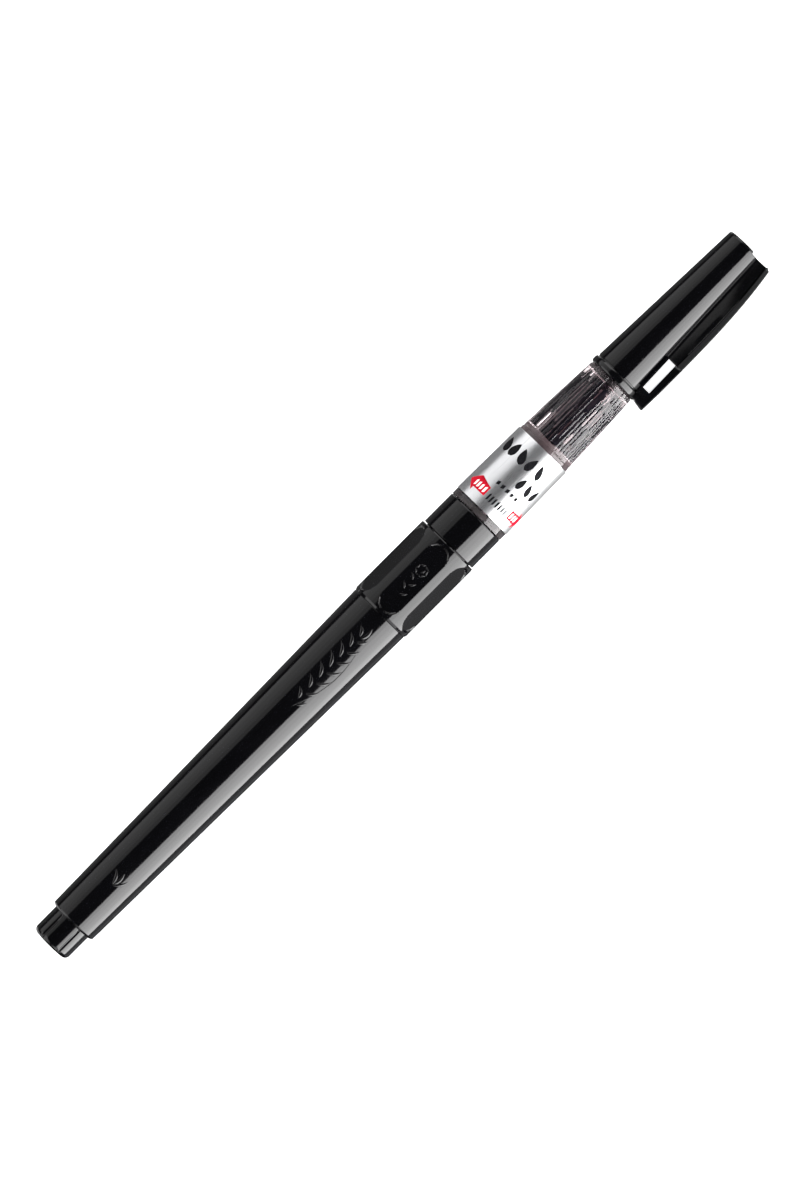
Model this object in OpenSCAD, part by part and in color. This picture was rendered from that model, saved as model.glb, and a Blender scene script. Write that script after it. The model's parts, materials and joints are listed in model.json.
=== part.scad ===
// Calligraphy brush pen with a screw-in ink cartridge, a clear ink chamber and a clip cap.
// The pen lies on a surface along X, cap towards +X, resting on its grip and on one edge of its clip.
// The origin is at the middle of the bottom of its bounding box. All sizes are in millimetres.

/* [Lengths] */
// Head of the tail plug
tail_l = 5.75; // [4:0.25:8]
// Barrel, from the tail plug to the grip
barrel_l = 77.15; // [72:0.05:90]
// Grip sleeve
grip_l = 17.1; // [17:0.1:22]
// Collar in front of the grip
collar_l = 7; // [6:0.5:9]
// Clear flange between the collar and the label
flange_l = 1.4; // [1:0.1:3]
// Foil label
label_l = 15.3; // [12:0.1:18]
// Stepped clear band in front of the label
step_l = 1.8; // [1:0.1:3]
// Clear ink chamber in front of the step
chamber_l = 15.6; // [14:0.1:20]
// Cap, from its mouth to its crown
cap_l = 33.7; // [33:0.1:36]

/* [Diameters] */
// Tail plug
tail_d = 8; // [7.8:0.1:8.6]
// Barrel at its tail end
barrel_tail_d = 9.55; // [9.5:0.05:10.5]
// Barrel at its front end
barrel_front_d = 12.1; // [12:0.05:12.4]
// Grip sleeve over its ridges
grip_d = 12.45; // [12.45:0.05:13]
// Collar and clear flange
collar_d = 11.9; // [11.6:0.1:12]
// Label at its rear edge
label_rear_d = 12.1; // [11.8:0.1:12.2]
// Label at its front edge
label_front_d = 11.7; // [11.6:0.1:11.9]
// Ink chamber at its rear end
chamber_rear_d = 11; // [10.8:0.1:11.4]
// Ink chamber at its front end
chamber_front_d = 9.7; // [9.6:0.1:10.2]
// Lip round the mouth of the cap
lip_d = 10.27; // [10.1:0.01:10.6]
// Cap just in front of its lip
cap_mouth_d = 9.72; // [9.6:0.01:10]
// Cap at its crown
crown_d = 7.46; // [7.3:0.01:8]

/* [Grip] */
// Number of scooped flats round the grip
flat_count = 6; // [6]
// Depth of each flat below the ridges
flat_depth = 0.45; // [0.3:0.05:0.5]
// Length of each flat
flat_l = 15.7; // [12:0.1:15.7]

/* [Clip] */
// Width of the clip blade
clip_w = 5; // [4.8:0.1:5.4]
// Distance of the clip's outer face from the pen's axis
clip_reach = 7.7; // [7.6:0.1:8]
// Distance of the blade's inner face from the pen's axis
blade_inner = 6.35; // [6.2:0.05:6.5]
// Length of the gap between the blade and the cap
window_l = 7; // [5:0.5:8]
// Length of the nub at the blade's tip
nub_l = 3; // [2:0.5:3.5]

/* [Brush] */
// Diameter of the tuft where it leaves its holder
tuft_root_d = 3.5; // [3:0.1:3.5]
// Diameter of the tuft at its belly
tuft_belly_d = 3.9; // [3.5:0.1:4.1]
// Length of the tuft outside its holder
tuft_out_l = 14; // [10:0.5:14.5]

/* [Thread] */
// Travel of the barrel for one turn
thread_pitch = 1.5; // [1:0.25:2]
// Number of thread crests on the spigot
thread_crests = 7; // [3:1:7]

/* [Hidden] */
$fn = 96;

seam = 0.2;        // groove between the grip sleeve and the collar
face_gap = 0.03;   // gap between end faces that turn or part
press_gap = 0.02;  // radial gap of pieces pressed together
run_gap = 0.05;    // radial gap of pieces that turn or slide on each other
over = 1;          // how far a cutting shape runs past the surface it cuts

// Stations along the axis, counted from the tail end
s_barrel = tail_l;
s_grip = s_barrel + barrel_l;
s_seam = s_grip + grip_l;
s_collar = s_seam + seam;
s_flange = s_collar + collar_l;
s_label = s_flange + flange_l;
s_step = s_label + label_l;
s_chamber = s_step + step_l;
s_cap = s_chamber + chamber_l;
total_l = s_cap + cap_l;

// Barrel bore
barrel_wall = 1;
plug_shank_r = 3.6;
plug_shank_l = 6.5;
cartridge_stop = 21;   // from the barrel's tail end to the step that the cartridge rests on
stop_r = 3.35;
tenon_r = 4.88;
tenon_l = 7.5;
sleeve_bore_r = 3.9;
sleeve_step = 7.6;     // from the grip's rear edge to where its bore widens for the spigot
collar_tenon_r = 5.2;
collar_tenon_l = 2.2;

// Cartridge
cartridge_r = 3.55;
cartridge_wall = 0.5;
cartridge_start = s_barrel + cartridge_stop + 0.25;
cartridge_end = s_grip + 6.1;
plug_head_l = 1.2;
ink_end = s_grip - 0.4;

// Front section
spigot_r = 4.5;
thread_root_r = 4.2;
spigot_l = 15.2;
spigot_bore_r = 2.6;
ring_r = 0.5;          // cross-section radius of the O-ring
ring_station = s_flange - 1.1;
label_t = 0.12;
chamber_bore_r = 4.3;
chamber_start = s_label + 1.9;
chamber_end = s_cap - 1.2;
chamber_bulge = 0.05;  // rise of the chamber's outline above a straight taper
neck_r = 3.85;
neck_l = 6;
inlet_r = 1.1;
inlet_bore_r = 0.62;
inlet_start = s_grip + 1.1;
wick_r = 0.55;
wick_bore_r = 0.65;
fin_count = 24;
fin_t = 0.4;
fin_r = 4;
fin_root_r = 2;        // where each fin starts inside the collector's core
fin_inset = 0.15;      // how far the fins stay inside the collector's end discs
collector_core_r = 2.4;
collector_end_l = 1.2;
collector_start = chamber_start + 0.5;
fin_end = chamber_end - 0.9;
ink_r = 4.26;

// Brush
holder_r = 3;
holder_tip_r = 2.15;
holder_l = 6.2;
holder_bore_r = 1.8;
holder_start = s_cap + neck_l;
binding_l = 1.5;
binding_start = holder_start - 1.1;
tuft_start = binding_start + binding_l + face_gap;
tuft_end = holder_start + holder_l + tuft_out_l;
tuft_rings = 14;

// Cap and clip
lip_l = 1.4;
cap_wall = 0.85;
cap_bore_l = 7.9;
cap_cavity_end = total_l - 1.8;
crown_round = 0.4;
crown_flat = 1.85;     // distance from the pen's axis of the flat beside the crown
liner_wall = 0.4;
liner_end = total_l - 5.5;
s_tip = s_cap - 0.1;
s_window = s_tip + nub_l;
s_web = s_window + window_l;
s_clip_end = total_l - 0.45;
s_peak = s_cap + 5.7;  // where the clip stands furthest from the axis
tip_drop = 0.15;
crown_drop = 1.5;
crown_drop_power = 3;
flare_start = s_web + 8.8;
flare = 0.3;           // how far each side of the clip widens by the crown
flank_r = 3;
flank_at = 4.6;        // distance of the concave sides' centres from the pen's axis
flank_in = 1.25;       // how far the web's concave side comes in from the blade's edge
flank_turn = 3.5;
nub_gap = 0.1;
clip_points = 24;

// The pen's roll at rest: the grip and the clip's outer edge touch the surface together
grip_r = grip_d / 2;
half_clip = clip_w / 2;
roll = acos(grip_r / norm([clip_reach, half_clip])) + atan(half_clip / clip_reach);
clip_side = half_clip * cos(roll) + clip_reach * sin(roll);
axis_y = (clip_side - grip_r) / 2;

function barrel_r(s) =
    (barrel_tail_d + (barrel_front_d - barrel_tail_d) * (s - s_barrel) / barrel_l) / 2;
function cap_r(s) =
    (cap_mouth_d + (crown_d - cap_mouth_d) * (s - s_cap - lip_l) / (cap_l - lip_l)) / 2;
function chamber_r(f) =
    (chamber_rear_d + (chamber_front_d - chamber_rear_d) * f) / 2 + chamber_bulge * sin(180 * f);
function clip_reach_at(s) = s < s_peak
    ? clip_reach - tip_drop * pow((s_peak - s) / (s_peak - s_tip), 2)
    : clip_reach - crown_drop * pow((s - s_peak) / (s_clip_end - s_peak), crown_drop_power);
function arc_points(r, s, radius, from, to, steps = 6) =
    [for (i = [0 : steps]) let (a = from + (to - from) * i / steps)
        [r + radius * cos(a), s + radius * sin(a)]];

// Places pen coordinates (x along the axis from the tail, clip towards -z) in the part's frame
module placed() {
    translate([-total_l / 2, axis_y, grip_r]) rotate([-roll, 0, 0]) children();
}

// Turns a profile of [radius, station] points about the pen's axis
module turned(profile) {
    rotate([0, 90, 0]) rotate_extrude() polygon(profile);
}

// Cylinder along the pen's axis between two stations
module rod(r, from, to) {
    translate([from, 0, 0]) rotate([0, 90, 0]) cylinder(r = r, h = to - from);
}

// Tube along the pen's axis between two stations
module tube(r, bore, from, to) {
    difference() {
        rod(r, from, to);
        rod(bore, from - over, to + over);
    }
}

// Flat plate across the pen, drawn as [station, distance from the axis towards the clip]
module side_plate(points, width) {
    rotate([90, 0, 0]) linear_extrude(width, center = true)
        polygon([for (p = points) [p[0], -p[1]]]);
}

// Pressed-in tail plug with a rounded head and shallow finger grooves
module tail_plug() {
    head_round = 1;
    groove_r = 0.6;
    groove_depth = 0.22;
    hollow_r = 2.5;
    end_wall = 1.6;
    shank_end = s_barrel + plug_shank_l - 0.4;
    color("#101012") placed() difference() {
        turned(concat(
            [[0, 0]],
            arc_points(tail_d / 2 - head_round, head_round, head_round, -90, 0),
            [[tail_d / 2, s_barrel], [plug_shank_r - press_gap, s_barrel],
             [plug_shank_r - press_gap, shank_end], [hollow_r, shank_end],
             [hollow_r, end_wall], [0, end_wall]]
        ));
        for (i = [0 : 5]) rotate([60 * i, 0, 0])
            translate([-over, 0, -(tail_d / 2 + groove_r - groove_depth)]) rotate([0, 90, 0])
                cylinder(r = groove_r, h = tail_l + 2 * over);
    }
}

// Long tapered barrel, open at the tail for the plug and at the front for the grip
module barrel() {
    tail_chamfer = 0.35;
    stop = s_barrel + cartridge_stop;
    color("#101012") placed() turned([
        [plug_shank_r, s_barrel],
        [barrel_r(s_barrel) - tail_chamfer, s_barrel],
        [barrel_r(s_barrel), s_barrel + tail_chamfer],
        [barrel_front_d / 2, s_grip],
        [tenon_r + press_gap, s_grip],
        [tenon_r + press_gap, s_grip - tenon_l - 0.1],
        [barrel_r(s_grip - tenon_l) - barrel_wall, s_grip - tenon_l - 0.1],
        [barrel_r(stop) - barrel_wall, stop],
        [stop_r, stop],
        [stop_r, s_barrel + plug_shank_l],
        [plug_shank_r, s_barrel + plug_shank_l]
    ]);
}

// Stadium-shaped cutter for one scooped flat
module flat_cutter() {
    end_r = 2.6;
    middle = s_grip + grip_l / 2;
    half = flat_l / 2 - end_r;
    translate([middle, 0, -(grip_r - flat_depth)]) mirror([0, 0, 1]) {
        for (side = [-1, 1]) translate([side * half, 0, 0]) cylinder(r = end_r, h = 2);
        translate([-half, -end_r, 0]) cube([2 * half, 2 * end_r, 2]);
    }
}

// Grip sleeve with its ring of flats and a tenon inside the barrel
module grip_sleeve() {
    rear_chamfer = 0.5;
    front_chamfer = 0.6;
    color("#101012") placed() difference() {
        turned([
            [sleeve_bore_r, s_grip - tenon_l],
            [tenon_r, s_grip - tenon_l],
            [tenon_r, s_grip],
            [barrel_front_d / 2, s_grip],
            [grip_r, s_grip + rear_chamfer],
            [grip_r, s_seam - front_chamfer],
            [grip_r - 0.22, s_seam],
            [collar_tenon_r + press_gap, s_seam],
            [collar_tenon_r + press_gap, s_collar - collar_tenon_l - 0.1],
            [spigot_r + run_gap, s_collar - collar_tenon_l - 0.1],
            [spigot_r + run_gap, s_grip + sleeve_step],
            [sleeve_bore_r, s_grip + sleeve_step]
        ]);
        for (i = [0 : flat_count - 1]) rotate([360 * (i + 0.5) / flat_count, 0, 0]) flat_cutter();
    }
}

// Collar that closes the front of the grip, with a tenon behind it
module front_collar() {
    chamfer = 0.2;
    color("#101012") placed() turned([
        [spigot_r + run_gap, s_collar - collar_tenon_l],
        [collar_tenon_r, s_collar - collar_tenon_l],
        [collar_tenon_r, s_collar],
        [collar_d / 2 - chamfer, s_collar],
        [collar_d / 2, s_collar + chamfer],
        [collar_d / 2, s_flange - face_gap - chamfer],
        [collar_d / 2 - chamfer, s_flange - face_gap],
        [spigot_r + run_gap, s_flange - face_gap]
    ]);
}

// Ink cartridge: a thin tube closed at the tail end
module cartridge() {
    end_round = 0.8;
    color("#d9d4d0", 0.6) placed() turned(concat(
        [[0, cartridge_start]],
        arc_points(cartridge_r - end_round, cartridge_start + end_round, end_round, -90, 0),
        [[cartridge_r, cartridge_end], [cartridge_r - cartridge_wall, cartridge_end],
         [cartridge_r - cartridge_wall, cartridge_start + 0.9], [0, cartridge_start + 0.9]]
    ));
}

// Stopper in the cartridge's mouth, which slides on the inlet tube
module cartridge_plug() {
    body_r = cartridge_r - cartridge_wall - press_gap;
    color("#e8e6e2") placed() turned([
        [inlet_r + run_gap, cartridge_end - 2.5],
        [body_r, cartridge_end - 2.5],
        [body_r, cartridge_end],
        [cartridge_r, cartridge_end],
        [cartridge_r, cartridge_end + plug_head_l],
        [inlet_r + run_gap, cartridge_end + plug_head_l]
    ]);
}

// Ink in the cartridge, behind the inlet tube's tip
module ink_charge() {
    color("#08080a") placed()
        rod(cartridge_r - cartridge_wall - press_gap, cartridge_start + 0.92, ink_end);
}

// Crests of the spigot's thread as [radius, station] points
function thread_profile() = [
    for (i = [0 : thread_crests - 1])
        let (s = s_flange - spigot_l + 0.9 + i * thread_pitch)
        each [[thread_root_r, s], [spigot_r, s + 0.4], [spigot_r, s + 0.7], [thread_root_r, s + 1.1]]
];

// Clear front body: threaded spigot, flange, label seat, ink chamber and neck
module clear_housing() {
    seat_gap = 0.01;
    groove_half = ring_r + 0.05;
    shoulder_round = 0.3;
    color("#e6d8d8", 0.35) placed() turned(concat(
        [[spigot_bore_r, s_flange - spigot_l], [thread_root_r, s_flange - spigot_l]],
        thread_profile(),
        [[thread_root_r, ring_station - groove_half - 0.5],
         [spigot_r - 0.05, ring_station - groove_half - 0.5],
         [spigot_r - 0.05, ring_station - groove_half],
         [spigot_r - 2 * ring_r - run_gap, ring_station - groove_half],
         [spigot_r - 2 * ring_r - run_gap, ring_station + groove_half],
         [spigot_r - 0.05, ring_station + groove_half],
         [spigot_r - 0.05, s_flange],
         [collar_d / 2 - 0.1, s_flange],
         [collar_d / 2, s_flange + 0.1],
         [collar_d / 2, s_label],
         [label_rear_d / 2 - label_t - seat_gap, s_label],
         [label_front_d / 2 - label_t - seat_gap, s_step],
         [chamber_rear_d / 2 + 0.12, s_step],
         [chamber_rear_d / 2 + 0.12, s_step + 0.7],
         [chamber_rear_d / 2 + 0.04, s_step + 0.8],
         [chamber_rear_d / 2 + 0.04, s_step + 1.3],
         [chamber_rear_d / 2, s_step + 1.4]],
        [for (i = [0 : 10]) [chamber_r(i / 10), s_chamber + (chamber_l - shoulder_round) * i / 10]],
        [[chamber_front_d / 2 - shoulder_round, s_cap - face_gap],
         [neck_r, s_cap - face_gap],
         [neck_r, s_cap + neck_l - 0.3],
         [neck_r - 0.3, s_cap + neck_l],
         [spigot_bore_r, s_cap + neck_l],
         [spigot_bore_r, chamber_end],
         [chamber_bore_r - 0.4, chamber_end],
         [chamber_bore_r, chamber_end - 0.4],
         [chamber_bore_r, chamber_start],
         [spigot_bore_r, chamber_start]]
    ));
}

// Foil label wrapped round its seat on the clear housing
module label() {
    color("#d6d8da") placed() turned([
        [label_rear_d / 2 - label_t, s_label + 0.02],
        [label_rear_d / 2, s_label + 0.02],
        [label_front_d / 2, s_step],
        [label_front_d / 2 - label_t, s_step]
    ]);
}

// O-ring in the groove of the spigot
module spigot_o_ring() {
    color("#202022") placed() translate([ring_station, 0, 0]) rotate([0, 90, 0])
        rotate_extrude() translate([spigot_r - ring_r, 0]) circle(r = ring_r, $fn = 32);
}

// Tube that pierces the cartridge, with a flange pressed into the spigot's bore
module inlet_tube() {
    flange_at = s_flange - 11;
    color("#c9c9cc") placed() turned([
        [inlet_bore_r, inlet_start],
        [inlet_bore_r + 0.15, inlet_start],
        [inlet_r, inlet_start + 1],
        [inlet_r, flange_at],
        [spigot_bore_r - press_gap, flange_at],
        [spigot_bore_r - press_gap, flange_at + 2],
        [inlet_r, flange_at + 2],
        [inlet_r, chamber_start + 0.4],
        [inlet_bore_r, chamber_start + 0.4]
    ]);
}

// One box for each fin, grown on its sides by a gap
module fins(from, to, outer_r, gap = 0) {
    for (i = [0 : fin_count - 1]) rotate([360 * i / fin_count, 0, 0])
        translate([from, -fin_t / 2 - gap, fin_root_r])
            cube([to - from, fin_t + 2 * gap, outer_r - fin_root_r]);
}

// Finned ink collector inside the clear chamber
module feed_collector() {
    start = collector_start;
    end = chamber_end - 0.2;
    color("#6b6163") placed() difference() {
        union() {
            rod(collector_core_r, start, end);
            rod(fin_r + fin_inset, start, start + collector_end_l);
            rod(fin_r + fin_inset, fin_end - collector_end_l, fin_end);
            fins(start + fin_inset, fin_end - fin_inset, fin_r);
        }
        rod(wick_bore_r, start - over, end + over);
    }
}

// Ink held between the collector's fins and the chamber's wall
module chamber_ink() {
    ink_gap = 0.04;
    from = collector_start + collector_end_l + ink_gap;
    to = fin_end - collector_end_l - ink_gap;
    color("#0c0c10") placed() difference() {
        tube(ink_r, collector_core_r + ink_gap, from, to);
        fins(from - over, to + over, fin_r + ink_gap, ink_gap);
    }
}

// Wick that carries ink from the inlet tube to the tuft
module feed_wick() {
    color("#26262a") placed() rod(wick_r, inlet_start + 1.2, binding_start - face_gap);
}

// Nose that holds the tuft in the housing's neck
module brush_holder() {
    tip_round = 0.3;
    color("#141416") placed() turned([
        [wick_bore_r, chamber_end + 0.1],
        [spigot_bore_r - press_gap, chamber_end + 0.1],
        [spigot_bore_r - press_gap, holder_start + face_gap],
        [holder_r, holder_start + face_gap],
        [holder_r, holder_start + 0.8],
        [holder_tip_r + 0.15, holder_start + holder_l - tip_round],
        [holder_tip_r - 0.1, holder_start + holder_l],
        [holder_bore_r, holder_start + holder_l],
        [holder_bore_r, binding_start - face_gap],
        [wick_bore_r, binding_start - face_gap]
    ]);
}

// Fused root of the tuft
module bristle_binding() {
    color("#3a3a3e") placed() rod(holder_bore_r - press_gap, binding_start, binding_start + binding_l);
}

// Tuft of bristles, drawn as the closed outer shape that they fill
module brush_tuft() {
    front = holder_start + holder_l;
    belly = 0.28;
    belly_rise = (tuft_belly_d - tuft_root_d) / 2;
    tip_r = 0.12;
    function tuft_r(f) = f < belly
        ? tuft_root_d / 2 + belly_rise * sin(90 * f / belly)
        : tip_r + (tuft_belly_d / 2 - tip_r) * pow(cos(90 * (f - belly) / (1 - belly)), 0.85);
    color("#2a2624") placed() turned(concat(
        [[0, tuft_start], [tuft_root_d / 2, tuft_start]],
        [for (i = [0 : tuft_rings]) [tuft_r(i / tuft_rings), front + tuft_out_l * i / tuft_rings]],
        [[0, tuft_end]]
    ));
}

// Solid side wall that joins the clip's blade to the cap
module clip_web() {
    base = 2.8;
    side = concat(
        [[s_web, base]],
        [for (i = [0 : clip_points]) let (s = s_web + (s_clip_end - s_web) * i / clip_points)
            [s, clip_reach_at(s)]],
        [[s_clip_end + 0.1, base]]
    );
    wide = half_clip + flare;
    plan = [
        [s_web, -half_clip], [flare_start, -half_clip], [s_clip_end + over, -wide],
        [s_clip_end + over, wide], [flare_start, half_clip], [s_web, half_clip]
    ];
    difference() {
        intersection() {
            side_plate(side, 2 * wide + over);
            translate([0, 0, -clip_reach - over]) linear_extrude(clip_reach + over - base + 1) polygon(plan);
        }
        for (side = [-1, 1])
            translate([s_web - over, side * (half_clip - flank_in + flank_r), -flank_at])
                rotate([0, 90, side * flank_turn]) cylinder(r = flank_r, h = s_clip_end - s_web + 2 * over);
    }
}

// Cap with its lip, closed crown and the web that carries the clip
module cap_shell() {
    lip_round = 0.15;
    color("#101012") placed() difference() {
        union() {
            turned(concat(
                [[0, s_cap], [lip_d / 2 - lip_round, s_cap], [lip_d / 2, s_cap + lip_round],
                 [lip_d / 2, s_cap + lip_l - lip_round], [lip_d / 2 - lip_round, s_cap + lip_l],
                 [cap_mouth_d / 2, s_cap + lip_l]],
                arc_points(cap_r(total_l - crown_round) - crown_round, total_l - crown_round,
                    crown_round, 0, 90),
                [[0, total_l]]
            ));
            clip_web();
        }
        translate([s_clip_end, -cap_mouth_d, -clip_reach - over])
            cube([cap_l, 2 * cap_mouth_d, clip_reach + over - crown_flat]);
        turned([
            [0, s_cap - over],
            [neck_r + run_gap, s_cap - over],
            [neck_r + run_gap, s_cap + cap_bore_l],
            [cap_r(s_cap + cap_bore_l) - cap_wall, s_cap + cap_bore_l],
            [cap_r(cap_cavity_end) - cap_wall, cap_cavity_end],
            [0, cap_cavity_end]
        ]);
    }
}

// Closed liner inside the cap, which keeps the tuft from drying
module inner_cap() {
    start = s_cap + cap_bore_l + 0.1;
    inset = cap_wall + run_gap;
    color("#ececea") placed() turned([
        [cap_r(start) - inset - liner_wall, start],
        [cap_r(start) - inset, start],
        [cap_r(liner_end) - inset, liner_end - 0.6],
        [cap_r(liner_end) - inset - 0.6, liner_end],
        [0, liner_end],
        [0, liner_end - liner_wall],
        [cap_r(liner_end) - inset - 0.8, liner_end - liner_wall],
        [cap_r(liner_end) - inset - liner_wall, liner_end - liner_wall - 0.6]
    ]);
}

// Springy blade of the clip, with the nub that grips the pocket against the cap's lip
module pocket_clip() {
    nub_foot = cap_r(s_window) - 0.4;
    blade = concat(
        [[s_web - face_gap, blade_inner - 0.15], [s_window + 0.2, blade_inner], [s_window, nub_foot],
         [s_tip + 0.4, nub_foot], [s_tip, clip_reach_at(s_tip) - 0.25], [s_tip + 0.3, clip_reach_at(s_tip)]],
        [for (i = [1 : 8]) let (s = s_tip + (s_web - s_tip - face_gap) * i / 8) [s, clip_reach_at(s)]]
    );
    color("#101012") placed() difference() {
        side_plate(blade, clip_w);
        rod(lip_d / 2 + nub_gap, s_tip - over, s_cap + lip_l + nub_gap);
        rod(cap_mouth_d / 2 + nub_gap, s_cap, s_window + over);
    }
}

tail_plug();
barrel();
grip_sleeve();
front_collar();
cartridge();
cartridge_plug();
ink_charge();
clear_housing();
label();
spigot_o_ring();
inlet_tube();
feed_collector();
feed_wick();
chamber_ink();
brush_holder();
bristle_binding();
brush_tuft();
cap_shell();
inner_cap();
pocket_clip();
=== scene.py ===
"""Calligraphy brush pen: finished meshes, materials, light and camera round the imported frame.

Lengths are in millimetres in pen coordinates until a mesh is placed: x runs along the pen's axis
towards the cap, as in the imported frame, the clip stands towards -z and the camera looks along +y.
"""
import json
import math
import random

import bmesh
import bpy
from mathutils import Matrix, Vector


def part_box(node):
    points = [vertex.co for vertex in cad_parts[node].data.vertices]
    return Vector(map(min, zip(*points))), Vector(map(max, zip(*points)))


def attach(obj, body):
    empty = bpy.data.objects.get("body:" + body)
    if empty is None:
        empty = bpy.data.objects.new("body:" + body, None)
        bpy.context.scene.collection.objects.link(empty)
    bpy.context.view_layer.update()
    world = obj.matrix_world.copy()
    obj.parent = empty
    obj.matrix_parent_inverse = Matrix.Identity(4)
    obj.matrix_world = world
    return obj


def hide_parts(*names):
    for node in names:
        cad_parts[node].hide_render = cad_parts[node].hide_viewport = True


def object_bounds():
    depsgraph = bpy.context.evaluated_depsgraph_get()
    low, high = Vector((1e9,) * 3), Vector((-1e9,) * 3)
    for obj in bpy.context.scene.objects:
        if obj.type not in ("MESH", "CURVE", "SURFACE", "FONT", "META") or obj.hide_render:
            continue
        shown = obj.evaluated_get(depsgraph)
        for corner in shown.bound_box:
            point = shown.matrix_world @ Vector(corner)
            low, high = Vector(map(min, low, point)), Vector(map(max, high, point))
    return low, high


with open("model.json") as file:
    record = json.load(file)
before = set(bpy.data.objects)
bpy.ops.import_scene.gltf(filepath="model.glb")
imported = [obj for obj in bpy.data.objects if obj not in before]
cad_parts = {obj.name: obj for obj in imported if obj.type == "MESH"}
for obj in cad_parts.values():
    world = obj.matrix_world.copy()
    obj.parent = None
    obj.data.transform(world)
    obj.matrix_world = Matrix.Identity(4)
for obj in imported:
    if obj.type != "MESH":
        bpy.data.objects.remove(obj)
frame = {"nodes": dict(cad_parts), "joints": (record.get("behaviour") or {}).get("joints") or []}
CAD_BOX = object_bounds()
scene = bpy.context.scene

MM = 0.001
SEGMENTS = 192
JOINTS = {joint["name"]: joint for joint in frame["joints"]}

# The pen's axis and roll, from the frame's joints
AXIS_Y, AXIS_Z = JOINTS["barrel_unscrew"]["pos_m"][1:]
FLEX_AXIS = JOINTS["clip_flex"]["axis"]
ROLL = math.atan2(FLEX_AXIS[2], -FLEX_AXIS[1])
PEN = Matrix.Translation((0, AXIS_Y, AXIS_Z)) @ Matrix.Rotation(-ROLL, 4, "X")


def ends(node):
    """Where a CAD node starts and ends along x."""
    low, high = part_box(node)
    return low.x / MM, high.x / MM


def widest(node):
    """Radius of a CAD node that is round about the pen's axis."""
    low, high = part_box(node)
    return max(high.y - low.y, high.z - low.z) / 2 / MM


# Stations along the pen
X_TAIL = ends("tail_plug")[0]
X_BARREL, X_GRIP = ends("barrel")
X_SEAM = ends("grip_sleeve")[1]
X_COLLAR = X_SEAM + 0.2
X_FLANGE = ends("front_collar")[1]
X_LABEL, X_STEP = ends("label")
X_CHAMBER = X_STEP + 1.8
X_SPIGOT, X_NECK = ends("clear_housing")
X_CAP, X_CROWN = ends("cap_shell")
X_TIP, X_WEB = ends("pocket_clip")
X_WINDOW = X_TIP + 3
X_CLIP_END = X_CROWN - 0.45
X_PEAK = X_CAP + 5.7
X_HOLDER_END = ends("brush_holder")[1]
X_TUFT, X_TUFT_END = ends("brush_tuft")

# Radii
R_TAIL = widest("tail_plug")
R_BARREL_TAIL = 4.775
R_BARREL = widest("barrel")
R_GRIP = widest("grip_sleeve")
R_COLLAR = widest("front_collar")
R_LABEL = widest("label")
R_LABEL_FRONT = 5.85
R_CHAMBER = 5.5
R_CHAMBER_FRONT = 4.85
R_SPIGOT = 4.5
R_NECK = 3.85
R_LIP = 5.135
R_CAP = 4.86
R_CROWN = 3.73
R_WICK = 0.65
R_WET = 4.33

# Clip, grip and collector
HALF_CLIP = 2.5
CLIP_REACH = 7.7
CLIP_CORNER = 0.18
CROWN_FLAT = 1.85
FLAT_DEPTH = 0.45
FINS = 40


# ---- mesh helpers

def soften(profile, radius, steps=3, closed=True):
    """Rounds each clear corner of an outline with a small curve."""
    points = []
    count = len(profile)
    for i, point in enumerate(profile):
        here = Vector(point)
        if not closed and i in (0, count - 1):
            points.append(here)
            continue
        back = Vector(profile[i - 1]) - here
        on = Vector(profile[(i + 1) % count]) - here
        if back.length < 1e-6 or on.length < 1e-6 or back.angle(on) > math.radians(168):
            points.append(here)
            continue
        cut = min(radius, back.length * 0.4, on.length * 0.4)
        start, end = here + back.normalized() * cut, here + on.normalized() * cut
        for k in range(steps + 1):
            t = k / steps
            points.append(start * (1 - t) ** 2 + here * 2 * t * (1 - t) + end * t * t)
    return points


def ring(x, radius, bend=None, count=SEGMENTS):
    """Points round the axis. bend changes the radius by angle, from the clip towards +y."""
    points = []
    for k in range(count):
        angle = 2 * math.pi * k / count
        r = bend(x, radius, angle) if bend else radius
        points.append((x, r * math.sin(angle), -r * math.cos(angle)))
    return points


def finish_mesh(name, vertices, faces, sharp=32):
    """A clean, smooth-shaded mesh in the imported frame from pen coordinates."""
    mesh = bpy.data.meshes.new(name)
    mesh.from_pydata([Vector(v) for v in vertices], [], faces)
    bm = bmesh.new()
    bm.from_mesh(mesh)
    bmesh.ops.remove_doubles(bm, verts=bm.verts, dist=1e-4)
    bmesh.ops.dissolve_degenerate(bm, dist=1e-5, edges=bm.edges)
    bmesh.ops.recalc_face_normals(bm, faces=bm.faces)
    bm.to_mesh(mesh)
    bm.free()
    mesh.transform(PEN @ Matrix.Scale(MM, 4))
    mesh.polygons.foreach_set("use_smooth", [True] * len(mesh.polygons))
    mesh.set_sharp_from_angle(angle=math.radians(sharp))
    return mesh


def loft(name, rings, closed=False, sharp=32):
    """Mesh through rings of equal length; closed joins the last ring to the first."""
    count = len(rings[0])
    vertices = [point for one in rings for point in one]
    faces = []
    for i in range(len(rings) - (0 if closed else 1)):
        j = (i + 1) % len(rings)
        for k in range(count):
            m = (k + 1) % count
            faces.append((i * count + k, i * count + m, j * count + m, j * count + k))
    return finish_mesh(name, vertices, faces, sharp)


def lathe(name, profile, bend=None, closed=True, count=SEGMENTS, sharp=32):
    """Turns (x, radius) points about the pen's axis."""
    return loft(name, [ring(x, r, bend, count) for x, r in profile], closed, sharp)


def place(mesh, body, slot, finish, *nodes):
    """Makes a mesh a piece that rides on a body and stands for CAD nodes."""
    obj = bpy.data.objects.new(mesh.name, mesh)
    scene.collection.objects.link(obj)
    mesh.materials.append(MATERIALS[finish])
    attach(obj, body)
    if nodes:
        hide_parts(*nodes)
    return obj


def lerp(a, b, t):
    """The value a share t of the way from a to b."""
    return a + (b - a) * t


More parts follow.
